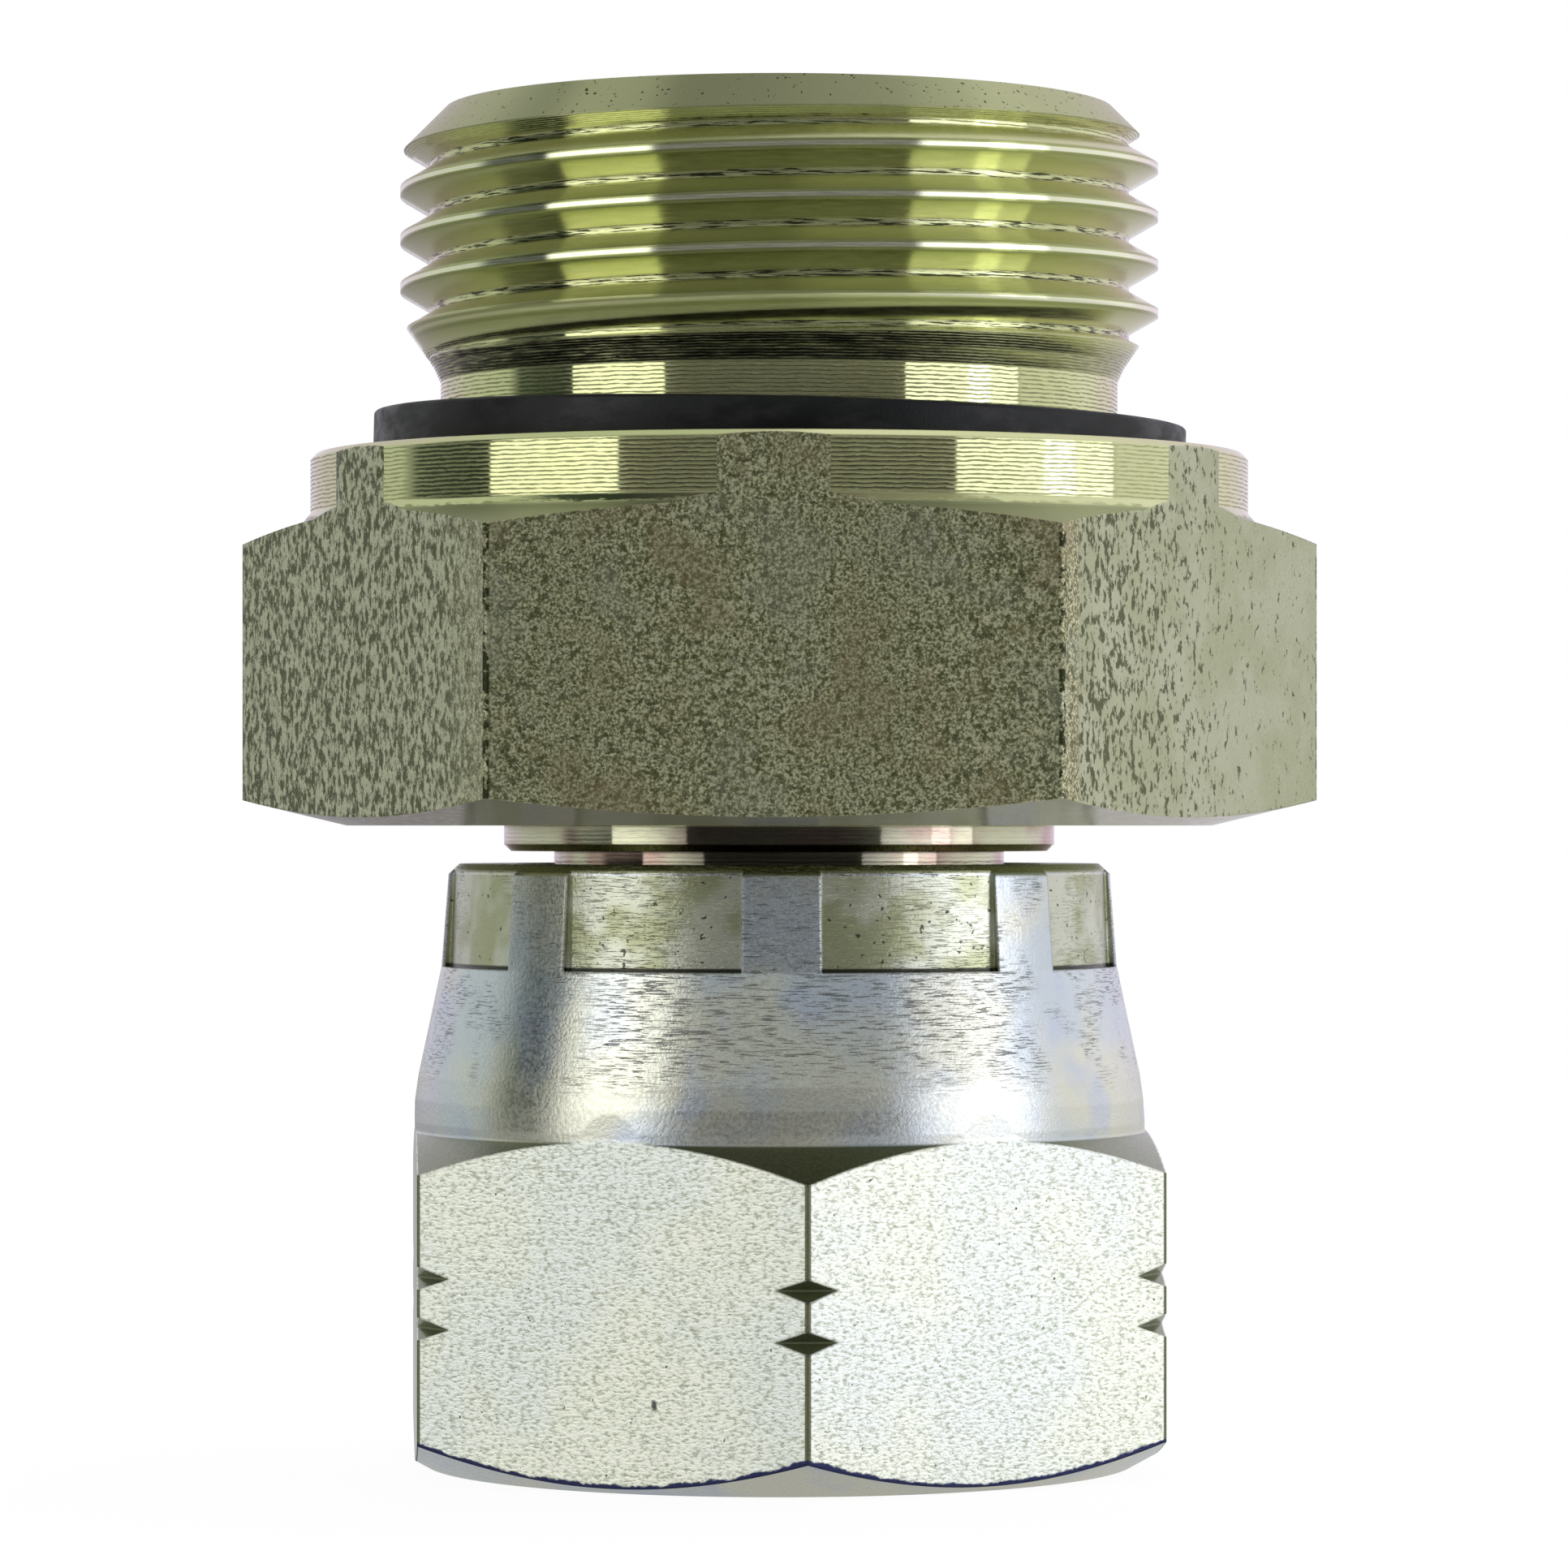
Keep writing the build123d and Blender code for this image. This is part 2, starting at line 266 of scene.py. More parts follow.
# %% Fill a colour ramp
def fill_ramp(ramp, stops, low, high):
    """Puts colour stops on a ramp; each place is given on a scale from low to high."""
    elements = ramp.color_ramp.elements
    while len(elements) > 1:
        elements.remove(elements[-1])
    for number, (place, colour) in enumerate(stops):
        position = (place - low) / (high - low)
        element = elements[0] if number == 0 else elements.new(position)
        element.position = position
        element.color = (*colour, 1)


print("on a ramp from -90 to 90 degrees the horizon is at", 90 / 180)

# %% [markdown]
# The world's direction gives both angles: the arctangent of its two level parts is the compass
# angle, and the arcsine of its upright part is the height. The front ramp takes over where the
# direction turns to the camera's side. The camera itself sees plain white.

# %% Paint the room
FRONT_STARTS, FRONT_ALONE = 0.2, 0.9  # how far a direction points to the camera's side

bpy.context.scene.view_settings.view_transform = "Standard"
room = bpy.data.worlds.new("room")
bpy.context.scene.world = room
room.use_nodes = True
room.node_tree.nodes.clear()
w = Wiring(room.node_tree)
direction_x, direction_y, direction_z = w.add(
    "SeparateXYZ", w.add("TexCoord").outputs["Generated"]
).outputs
toward = w.math("MULTIPLY", direction_y, -1.0)
compass = w.math("ARCTAN2", direction_x, toward)
walls = w.add("ValToRGB", w.math("MULTIPLY_ADD", compass, 0.5 / pi, 0.5))
fill_ramp(walls, WALLS, -180, 180)
height = w.math("ARCSINE", direction_z)
front = w.add("ValToRGB", w.math("MULTIPLY_ADD", height, 1 / pi, 0.5))
fill_ramp(front, FRONT, -90, 90)
frontness = w.band(toward, FRONT_STARTS, FRONT_ALONE)
seen_by_steel = w.tint(frontness, walls.outputs[0], front.outputs[0])
room_light = w.add("Background", seen_by_steel, 1.0)
plain_white = w.add("Background", WHITE, 1.0)
seen_by_camera = w.add("LightPath").outputs["Is Camera Ray"]
room_mix = w.add("MixShader", seen_by_camera, room_light.outputs[0], plain_white.outputs[0])
w.add("OutputWorld", room_mix.outputs[0])
print("room painted with", len(w.tree.nodes), "nodes")

# %% [markdown]
# ## Lamps
# Two tall soft lamps stand at the left and right in front of the part. Spots or a sun would
# show as dots and streaks in the steel. An area lamp shows as a clean band, and its upright
# edges are the band's, so the angles and widths come from where the bands start and end. The
# right lamp has a hotter strip, which shows as the white core of its band. A lamp's power
# follows from its area and from how bright it looks in a mirror, so that a change of size
# leaves its band as bright as before.

# %% Hang the lamps
PLAIN = (1, 1, 1)
COOL = (0.97, 0.98, 1.10)
# name, compass angle in degrees, four sizes in metres, brightness and colour
LAMPS = (
    ("lamp_left", -55.5, 0.60, 0.37, -0.18, 0.44, 1.76, PLAIN),
    ("lamp_right", 64.5, 0.60, 0.49, -0.18, 0.24, 1.76, COOL),
    ("lamp_right_core", 70.0, 0.58, 0.09, -0.04, 0.20, 1.70, COOL),
)


def hang_lamp(name, compass_angle, distance, width, foot, top, brightness, colour):
    """A soft lamp at an angle from the camera's side, with this brightness in a mirror."""
    data = bpy.data.lights.new(name, "AREA")
    data.shape = "RECTANGLE"
    data.size = width
    data.size_y = top - foot
    data.energy = brightness * pi * data.size * data.size_y
    data.color = colour
    lamp = bpy.data.objects.new(name, data)
    turn = radians(compass_angle)
    lamp.location = (distance * sin(turn), -distance * cos(turn), (foot + top) / 2)
    level_aim = Vector((-sin(turn), cos(turn), 0))
    lamp.rotation_euler = level_aim.to_track_quat("-Z", "Y").to_euler()
    bpy.context.collection.objects.link(lamp)
    print(name, "uses", round(data.energy, 2), "W")


for lamp_values in LAMPS:
    hang_lamp(*lamp_values)

# %% [markdown]
# ## The base of every finish
# A finish is a metal or rubber shader plus fields that say where on the piece a point lies: its
# position in millimetres and its distance from the axis. Patterns read the object's own
# coordinates, so they stay on the steel from every side.
#
# Turned steel has microscopic rings, and they stretch its gloss along the profile. That is what
# Anisotropic does, with a tangent that runs round the axis: a lamp's band then runs straight
# down over cylinders, chamfers and thread alike. Sharp CAD edges get a fine rounding from the
# Bevel node, which gives each corner the thin line that a real, tumbled edge shows.

# %% Start a finish
QUARTER_TURN = 0.25  # the gloss stretches across the tangent
BEVEL_SAMPLES = 4


class Finish(Wiring):
    """A material under construction, with positions in millimetres."""

    def __init__(self, name, metallic, edge_radius, anisotropy=0.0):
        self.material = bpy.data.materials.new(name)
        self.material.use_nodes = True
        super().__init__(self.material.node_tree)
        self.shader = self.tree.nodes["Principled BSDF"]
        self.place = self.scale(self.add("TexCoord").outputs["Object"], 1 / MM)
        self.x, self.y, self.z = self.add("SeparateXYZ", self.place).outputs
        self.radius = self.vector("LENGTH", self.vector("MULTIPLY", self.place, (1, 1, 0)))
        around = self.vector("CROSS_PRODUCT", (0, 0, 1), self.place)
        settings = {
            "Metallic": metallic,
            "Tangent": self.in_world(around, "VECTOR"),
            "Anisotropic": anisotropy,
            "Anisotropic Rotation": QUARTER_TURN,
        }
        self.feed_by_name(self.shader, settings)
        self.bevel = self.add("Bevel", edge_radius * MM, samples=BEVEL_SAMPLES)
        self.normal = self.bevel.outputs[0]

    def in_world(self, vector, vector_type):
        """Turns a vector of the piece into one of the world, so that it turns with a joint."""
        ends = {"convert_from": "OBJECT", "convert_to": "WORLD"}
        return self.add("VectorTransform", vector, vector_type=vector_type, **ends).outputs[0]

    def noise(self, size, detail=2.0, rough=0.5, stretch=(1, 1, 1), shift=0.0):
        """Noise with features of about this size; stretch makes them longer along an axis."""
        squeeze = tuple(1 / s for s in stretch)
        place = self.vector("MULTIPLY_ADD", self.place, squeeze, (shift, shift, shift))
        node = self.add("TexNoise")
        settings = {"Vector": place, "Scale": 1 / size, "Detail": detail, "Roughness": rough}
        self.feed_by_name(node, settings)
        return node.outputs[0]

    def tell(self, zone):
        print(f"{self.material.name}: {zone} mixed, {len(self.tree.nodes)} nodes so far")

    def finish(self, coat, relief, depth):
        """Feeds the shader; relief is a pattern of heights and depth its size in mm."""
        bump = self.add("Bump")
        heights = {"Strength": 1.0, "Distance": depth * MM, "Height": relief}
        self.feed_by_name(bump, {**heights, "Normal": self.normal})
        looks = {"Base Color": coat.colour, "Roughness": coat.roughness}
        self.feed_by_name(self.shader, {**looks, "Normal": bump.outputs[0]})
        return self.material


print("edges are rounded with", BEVEL_SAMPLES, "samples")

# %% [markdown]
# A real surface is built up in layers: bare finish, then stains, scuffs and pits on top. They
# could be painted by hand into an image, but it would blur up close and need the mesh laid
# out flat. Masks that come from the position are sharp at any distance. A coat holds the
# colour and the roughness of one zone, and each layer is painted over it where its mask says.
# Polishing changes the roughness in the same way.

# %% Paint in layers
class Coat:
    """The colour and roughness of a zone, painted layer by layer."""

    def __init__(self, finish, colour, roughness=None):
        self.wiring = finish
        self.colour = colour
        self.roughness = roughness

    def paint(self, where, colour, strength=1.0):
        if strength < 1.0:
            where = self.wiring.both(where, strength)
        self.colour = self.wiring.tint(where, self.colour, colour)

    def polish(self, where, roughness):
        self.roughness = self.wiring.mix(where, self.roughness, roughness)


def dress(node, material):
    """Gives a carried-over CAD node its material."""
    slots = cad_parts[node].data.materials
    slots.clear()
    slots.append(material)
    print(node, "wears", material.name)


print("coat helpers:", [name for name in vars(Coat) if not name.startswith("_")])

# %% [markdown]
# ## Body finish
# The body is steel under an olive yellow zinc plating. Its zones look very different: turned
# steel, a smooth collar, a thread, matt chamfers, and six flats with the skin of drawn bar.
# The mesh could be cut up into a material for each, but its triangles cross their borders.
# So one material holds them all: each zone is mixed in a cell of its own and laid on by a
# mask. The masks need these sizes of the CAD source, in millimetres, with heights above the
# foot of the nut.

# %% Note the body's sizes
BODY_FLATS = 41.0
BODY_FLAT_TURN = -30.6  # degrees
BODY_CORNER = 23.60
HEX_BASE = 27.97
HEX_TOP = 41.27
HEX_CHAMFER = 1.2
GROOVE_FOOT = 45.15
UNDERCUT_TOP = 47.40
THREAD_FOOT = 48.9
THREAD_TOP = 57.3
THREAD_ROOT = 15.37
THREAD_CREST = 16.65
THREAD_PITCH = 2.117
STUD_END_SUM = 74.08  # radius plus height on the lead-in chamfer
SOFT = 0.02  # half the width of a crisp border
print("the thread has", round((THREAD_TOP - THREAD_FOOT) / THREAD_PITCH, 1), "turns")

# %% [markdown]
# ### Turned steel
# The lathe tool leaves fine rings. As shapes they would take millions of faces, so they are a
# pattern: a sine wave over a lathe coordinate, the height plus the distance from the axis,
# which grows over cylinders and over faces alike. On the lead-in chamfer the sum stands
# still, so that one has no rings, as on the real part. A little noise makes the rings wander
# and swell, and where they are strong the steel is rougher.

# %% Turn the steel
EDGE_ROUNDING = 0.12  # mm
LATHE_PITCH = 0.18  # mm from ring to ring
LATHE_WANDER = 0.10
RING_STRENGTH = 0.32
RING_ROUGHNESS = (0.06, 0.52)  # between rings and in them
PLATING_TINT = (1.0, 0.93, 1.0, 1)  # of the gloss at grazing angles
OLIVE = (0.54, 0.57, 0.27)
PALE_OLIVE = (0.62, 0.64, 0.36)

f = Finish("olive_zinc", metallic=1.0, edge_radius=EDGE_ROUNDING, anisotropy=1.0)
f.shader.inputs["Specular Tint"].default_value = PLATING_TINT
lathe = f.math("ADD", f.z, f.radius)
wander = f.math("MULTIPLY_ADD", f.noise(1.1, 1, shift=37), LATHE_WANDER, lathe)
wave = f.math("SINE", f.math("MULTIPLY", wander, 2 * pi / LATHE_PITCH))
swell = f.noise(0.5, 2, 0.6, stretch=(1, 1, 0.15))
rings = f.math("MULTIPLY_ADD", wave, RING_STRENGTH, swell)
turned = Coat(
    f,
    colour=f.tint(f.noise(6.0, 3), OLIVE, PALE_OLIVE),
    roughness=f.band(rings, 0.42, 0.82, *RING_ROUGHNESS),
)
f.tell("turned steel")

# %% [markdown]
# ### Collar and neck
# Below the hexagon the body is paler and smoother, with brown tints where the plating ran
# thin, and painted shade in front, in the gap over the nut. This zone has a coat of its own,
# which then goes over the turned steel in one layer.

# %% Paint shade on the collar's front
COLLAR_GREY = (0.60, 0.60, 0.42)
COLLAR_BROWN = (0.46, 0.33, 0.27)
GAP_SHADE = (0.07, 0.06, 0.05)
GAP_SHADE_ENDS, GAP_SHADE_FULL = 6.5, 3.0  # mm either side of the middle
COLLAR_ROUGHNESS = 0.10

from_middle = f.math("ABSOLUTE", f.x)
below_hex = f.band(f.z, HEX_BASE - SOFT, HEX_BASE - 3 * SOFT)
brown = f.band(f.noise(4.0, 2, shift=7), 0.42, 0.60)
collar = Coat(f, f.tint(brown, COLLAR_GREY, COLLAR_BROWN))
# painted shade in front, in the gap over the nut
gap_shaded = f.both(f.band(from_middle, GAP_SHADE_ENDS, GAP_SHADE_FULL), f.band(f.y, 0.0, -1.0))
collar.paint(gap_shaded, GAP_SHADE, 0.85)
turned.paint(below_hex, collar.colour)
turned.polish(below_hex, COLLAR_ROUGHNESS)
f.tell("collar")

# %% [markdown]
# ### Thread
# The thread winds, so a mask over the height can't follow it, and unwrapping it would be slow
# and inexact. Its phase follows it well: the height in pitches less the turns round the axis.
# The fraction of that is 0 in the root and 0.5 on the crest, all along the helix. The crests
# get a painted highlight between two thin lines of painted shade, the lower flanks, which face
# down, get painted shade in a deeper olive, and the roots get a broken dark line.

# %% Follow the thread
DARK_ROOT_LINE = (0.06, 0.065, 0.03)
LOWER_FLANK_SHADE = (0.34, 0.38, 0.13)
CREST_EDGE_SHADE = (0.26, 0.29, 0.10)
CREST_HIGHLIGHT = (0.78, 0.79, 0.58)
FLANK_ROUGHNESS = (0.13, 0.20)
# where each mask rises, is full, fades and is gone
FLANK_SHADE_PHASES = (0.10, 0.44, 0.46, 0.50)
CREST_SHADE_PHASES = (0.035, 0.06, 0.09, 0.14)  # either side of the crest

in_thread = f.window(f.z, THREAD_FOOT - 0.2, THREAD_FOOT, THREAD_TOP, THREAD_TOP + 0.1)
streak = f.noise(1.3, 3, 0.6, stretch=(1, 1, 0.05))
pitches = f.math("DIVIDE", f.math("SUBTRACT", f.z, GROOVE_FOOT), THREAD_PITCH)
turns = f.math("DIVIDE", f.math("ARCTAN2", f.y, f.x), 2 * pi)
phase = f.math("FRACT", f.math("SUBTRACT", pitches, turns))
from_crest = f.math("ABSOLUTE", f.math("SUBTRACT", phase, 0.5))

root = f.band(f.radius, THREAD_ROOT + 0.06, THREAD_ROOT + 0.02)
shaded_lower_flank = f.window(phase, *FLANK_SHADE_PHASES)
crest_edge_shade = f.window(from_crest, *CREST_SHADE_PHASES)
crest = f.both(
    f.band(from_crest, 0.055, 0.03),
    f.band(f.radius, THREAD_CREST - 0.12, THREAD_CREST - 0.04),
)
# a broken dark line along the roots
turned.paint(f.both(in_thread, root, f.band(streak, 0.50, 0.58)), DARK_ROOT_LINE)
# the lower flanks get painted shade, and the crests a painted highlight between lines of painted
# shade
turned.paint(f.both(in_thread, shaded_lower_flank), LOWER_FLANK_SHADE, 0.85)
turned.paint(f.both(in_thread, crest_edge_shade), CREST_EDGE_SHADE, 0.7)
turned.paint(f.both(in_thread, crest), CREST_HIGHLIGHT)
turned.polish(in_thread, f.band(streak, 0.3, 0.7, *FLANK_ROUGHNESS))
f.tell("thread")

# %% [markdown]
# The tool leaves the cut in a run-out under the last turn. It faces down onto the black ring,
# so it gets a painted reflection of that ring: dark, in streaks round the axis, clearing
# towards the right. The same streaks as on the flanks serve here too, because one tool made
# both.

# %% Paint the run-out's reflection
RUNOUT_SHADE = (0.10, 0.10, 0.065)

shaded_runout = f.window(
    f.z, UNDERCUT_TOP - 0.05, UNDERCUT_TOP + 0.15, UNDERCUT_TOP + 0.95, UNDERCUT_TOP + 1.25
)
clears = f.band(f.x, 10.0, 3.0, 0.45, 1.0)
# a painted reflection of the dark ring below, in streaks, fading to the right
turned.paint(f.both(shaded_runout, f.band(streak, 0.72, 0.40), clears), RUNOUT_SHADE)
f.tell("run-out")

# %% [markdown]
# ### Chamfers
# The lead-in chamfer at the end of the stud is matt, with a few pits. A slope of 45 degrees is
# easy to pick out: it is where the radius and the height add up to one number. The chamfers of
# the hexagon are duller than the flange, and the lower one, which faces down, gets painted
# shade on the left. They need no more than a range of heights.

# %% Dull the chamfers
LEAD_IN_OLIVE = (0.44, 0.47, 0.25)
PIT = (0.06, 0.065, 0.03)
LEAD_IN_ROUGHNESS = 0.38
HEAD_OLIVE = (0.36, 0.39, 0.21)
HEAD_ROUGHNESS = 0.36
FOOT_CHAMFER_SHADE = (0.24, 0.25, 0.17)
FOOT_PALE = (0.42, 0.44, 0.33)

off_chamfer = f.math("ABSOLUTE", f.math("SUBTRACT", lathe, STUD_END_SUM))
lead_in = f.both(f.band(f.z, THREAD_TOP, THREAD_TOP + 0.1), f.band(off_chamfer, 0.12, 0.05))
pits = f.band(f.noise(0.20, 1, shift=3), 0.68, 0.74)
turned.polish(lead_in, LEAD_IN_ROUGHNESS)
turned.paint(lead_in, LEAD_IN_OLIVE, 0.8)
turned.paint(f.both(lead_in, pits), PIT)

head_starts = HEX_TOP - HEX_CHAMFER
foot_ends = HEX_BASE + HEX_CHAMFER
hex_head = f.window(f.z, head_starts - 0.1, head_starts, HEX_TOP - SOFT, HEX_TOP + SOFT)
hex_foot = f.window(f.z, HEX_BASE - SOFT, HEX_BASE + SOFT, foot_ends, foot_ends + 0.1)
turned.paint(hex_head, HEAD_OLIVE)
# painted shade on the left of the lower chamfer, fading to pale on the right
turned.paint(hex_foot, f.tint(f.band(f.x, 2.0, 16.0), FOOT_CHAMFER_SHADE, FOOT_PALE))
turned.polish(hex_head, HEAD_ROUGHNESS)
f.tell("chamfers")

# %% [markdown]
# ### Flats of the hexagon
# The normal could tell the flats apart, but then their rounded edges would be missed. The
# position is safer: a point is on a flat when it is as far out as half the width across the
# flats, measured square to one of the three pairs. The flats keep the skin of the drawn bar,
# which takes the plating in dark and pale specks. These fields are their patterns: a fine
# grain, specks, blotches that are taller than wide, and slow zones.

# %% Find the flats and their patterns
FLAT_SLACK = 0.06  # mm


def hexagon_flats(finish, across, turn):
    """A mask of a hexagon's six flats, which reach out to half the width across them."""
    widest = None
    for step in range(3):
        angle = radians(turn + 60 * step)
        square = finish.vector("DOT_PRODUCT", finish.place, (cos(angle), sin(angle), 0))
        reach = finish.math("ABSOLUTE", square)
        widest = reach if widest is None else finish.math("MAXIMUM", widest, reach)
    return finish.math("GREATER_THAN", widest, across / 2 - FLAT_SLACK)


body_flats = hexagon_flats(f, BODY_FLATS, BODY_FLAT_TURN)
fine = f.noise(0.13, 2, 0.7)
specks = f.noise(0.30, 3, 0.6, shift=43)
blotch = f.noise(0.34, 4, 0.66, stretch=(1, 1, 1.6), shift=5)
zone = f.noise(3.5, 3, 0.6, shift=11)
f.tell("flats' patterns")

# %% [markdown]
# The three flats of the front took the plating differently. The middle one is mottled finely
# over dark specks, with brown and grey zones. The masks read X alone, so the back of the
# hexagon gets the same three skins.

# %% Mottle the middle flat
SKIN_DARK, SKIN_PALE = (0.23, 0.25, 0.095), (0.94, 0.93, 0.62)
SPECK = (0.13, 0.145, 0.055)
SKIN_BROWN = (0.46, 0.36, 0.20)
SKIN_GREY = (0.52, 0.55, 0.43)
SKIN_ROUGHNESS = 0.50

skin = Coat(f, f.tint(f.band(fine, 0.36, 0.66), SKIN_DARK, SKIN_PALE), SKIN_ROUGHNESS)
skin.paint(f.band(specks, 0.47, 0.39), SPECK, 0.80)
skin.paint(f.band(zone, 0.50, 0.68), SKIN_BROWN, 0.40)
skin.paint(f.band(zone, 0.46, 0.32), SKIN_GREY, 0.25)
f.tell("middle flat")

# %% [markdown]
# The left flat is covered in strong upright blotches. The right one is pale, with pits that thin
# out to the right: their threshold falls as X grows.

# %% Blotch the left flat and pit the right one
LEFT_FLAT_FADES, LEFT_FLAT_FULL = -11.0, -14.5
RIGHT_FLAT_FADES, RIGHT_FLAT_FULL = 12.2, 12.4
LEFT_DARK, LEFT_PALE = (0.15, 0.175, 0.070), (0.74, 0.78, 0.53)
LEFT_GRAIN = (0.19, 0.21, 0.10)
RIGHT_OLIVE, RIGHT_PALE = (0.62, 0.66, 0.41), (0.70, 0.73, 0.50)
RIGHT_PIT = (0.16, 0.18, 0.075)

leftness = f.band(f.x, LEFT_FLAT_FADES, LEFT_FLAT_FULL)
rightness = f.band(f.x, RIGHT_FLAT_FADES, RIGHT_FLAT_FULL)
left_skin = Coat(f, f.tint(f.band(blotch, 0.43, 0.56), LEFT_DARK, LEFT_PALE))
left_skin.paint(f.band(fine, 0.45, 0.35), LEFT_GRAIN, 0.5)
right_skin = Coat(f, f.tint(f.band(zone, 0.38, 0.62), RIGHT_OLIVE, RIGHT_PALE))
pit_cover = f.band(f.x, 13.0, 22.0, 0.47, 0.36)
right_skin.paint(f.band(f.math("SUBTRACT", blotch, pit_cover), 0.04, -0.04), RIGHT_PIT)
skin.paint(leftness, left_skin.colour)
skin.paint(rightness, right_skin.colour)
f.tell("left and right flats")

# %% [markdown]
# Two details lie over all the skins. Bright grains stand out of the left and middle flats, and
# a broken dark line runs down the corners between the flats.

# %% Add grains and corners
GRAIN = (0.85, 0.82, 0.62)
GRAIN_ROUGHNESS = 0.30
CORNER_DARK = (0.06, 0.07, 0.03)

not_right = f.band(f.x, RIGHT_FLAT_FULL, RIGHT_FLAT_FADES)
grain = f.both(f.band(f.noise(0.11, 1, shift=31), 0.66, 0.74), not_right)
broken = f.band(f.noise(0.6, 3, 0.7, shift=71), 0.46, 0.54)
skin.paint(grain, GRAIN, 0.8)
skin.paint(f.both(f.band(f.radius, BODY_CORNER - 0.04, BODY_CORNER), broken), CORNER_DARK)
skin.polish(grain, GRAIN_ROUGHNESS)
f.tell("grains and corners")

# %% [markdown]
# ### The body, joined
# The skin goes over the turned steel where the flats are, and each zone brings its own relief:
# rings, streaks, pits, grain or blotches. The thread needs two things more. Its crests are
# rounded wider than the other edges. And fine marks on its flanks scatter light along the
# profile, which no bump could show at this scale, so the shading normal leans out from the
# axis there and the bright bands run on over the flanks.

# %% Join the body's zones
FLANK_LEAN = 0.28
CREST_ROUNDING = 0.22  # mm
BODY_RELIEF = 0.035
RING_RELIEF, STREAK_RELIEF = 0.06, 0.10  # shares of it


def lean_out(finish, amount):
    """Leans the shading normal straight out from the axis, as fine turning marks do."""
    out = finish.in_world(finish.vector("MULTIPLY", finish.place, (1, 1, 0)), "NORMAL")
    leaning = finish.vector("ADD", finish.normal, finish.scale(out, amount))
    finish.normal = finish.vector("NORMALIZE", leaning)


turned.paint(body_flats, skin.colour)
turned.polish(body_flats, skin.roughness)
ring_relief = f.both(rings, RING_RELIEF)
turned_relief = f.mix(in_thread, ring_relief, f.both(streak, STREAK_RELIEF))
turned_relief = f.mix(lead_in, turned_relief, pits)
relief = f.mix(body_flats, turned_relief, f.mix(leftness, fine, blotch))
rounding = f.mix(in_thread, EDGE_ROUNDING * MM, CREST_ROUNDING * MM)
f.feed(f.bevel.inputs["Radius"], rounding)
lean_out(f, f.both(in_thread, FLANK_LEAN))
body_finish = f.finish(turned, relief, BODY_RELIEF)
dress("adapter_body", body_finish)

# %% [markdown]
# ## Nut finish
# The nut has a brighter, bluish zinc plating. It is mixed as the body's is: the barrel, the
# dents of the crimp, the dark zones, and the flats. These are its sizes in millimetres.

# %% Note the nut's sizes
NUT_FLATS = 32.0
NUT_FLAT_TURN = 3.7  # degrees
NUT_LENGTH = 26.3
NUT_CORNER = 18.475
SHOULDER_FOOT = 12.4
SHOULDER_TOP = 14.6
DENT_BASE = 21.8
DENT_TOP = 25.9
RIB_TOP_RADIUS = 14.5
RIB_SLOPE = 4.3  # degrees
FOOT_RADIUS = 15.55
FOOT_SLOPE = 29.0  # degrees
print("the dents are", round(DENT_TOP - DENT_BASE, 1), "mm high")

# %% [markdown]
# ### Barrel
# The barrel's plating drifts between blue grey and straw, with bluer patches. When the jaws
# crimped it, they scuffed it along the turning: short dark lines, most of all in front. Noise
# that is squeezed along the height makes such lines, and a second, slower noise leaves some
# places clear. The gloss is stretched less than the body's, because the barrel is rougher.

# %% Scuff the barrel
BLUE_GREY, STRAW = (0.56, 0.61, 0.64), (0.66, 0.66, 0.55)
BLUER = (0.50, 0.55, 0.66)
SCUFF = (0.16, 0.17, 0.18)
BARREL_ROUGHNESS = (0.20, 0.34)
SCUFFS_END, SCUFFS_FULL = 9.5, 6.0  # mm either side of the middle

f = Finish("bright_zinc", metallic=1.0, edge_radius=0.16, anisotropy=0.4)
peel = f.noise(0.16, 3, 0.7)
barrel = Coat(
    f,
    colour=f.tint(f.band(f.noise(5.0, 2, shift=2), 0.36, 0.62), BLUE_GREY, STRAW),
    roughness=f.band(peel, 0.3, 0.7, *BARREL_ROUGHNESS),
)
barrel.paint(f.band(f.noise(3.5, 2, shift=17), 0.56, 0.7), BLUER, 0.6)

scuff_line = f.band(f.noise(0.9, 3, 0.6, stretch=(1, 1, 0.06), shift=9), 0.54, 0.63)
in_patches = f.band(f.noise(3.0, 2, shift=29), 0.42, 0.58)
from_middle = f.math("ABSOLUTE", f.x)
in_front = f.both(f.band(from_middle, SCUFFS_END, SCUFFS_FULL), f.band(f.y, -6.0, -8.0))
above_shoulder = f.band(f.z, 16.0, 18.5)
scuff = f.both(scuff_line, above_shoulder, f.math("MAXIMUM", in_patches, in_front))
barrel.paint(scuff, SCUFF, 0.85)
f.tell("barrel")

# %% [markdown]
# ### Dents of the crimp
# The jaws pressed eight dents, and the ribs between them are still the barrel. The solid has
# their shape, so only their finish is made here. A point is in a dent when it lies inside the
# cone of the ribs. The dents are smooth and a little yellow, with some pits, and a painted
# shadow line where each meets its lower step.

# %% Press the dents
DENT_OLIVE, DENT_PALE = (0.42, 0.44, 0.27), (0.60, 0.62, 0.50)
DENT_PIT = (0.10, 0.10, 0.08)
DENT_STEP_SHADOW = (0.05, 0.05, 0.04)
DENT_ROUGHNESS = 0.30

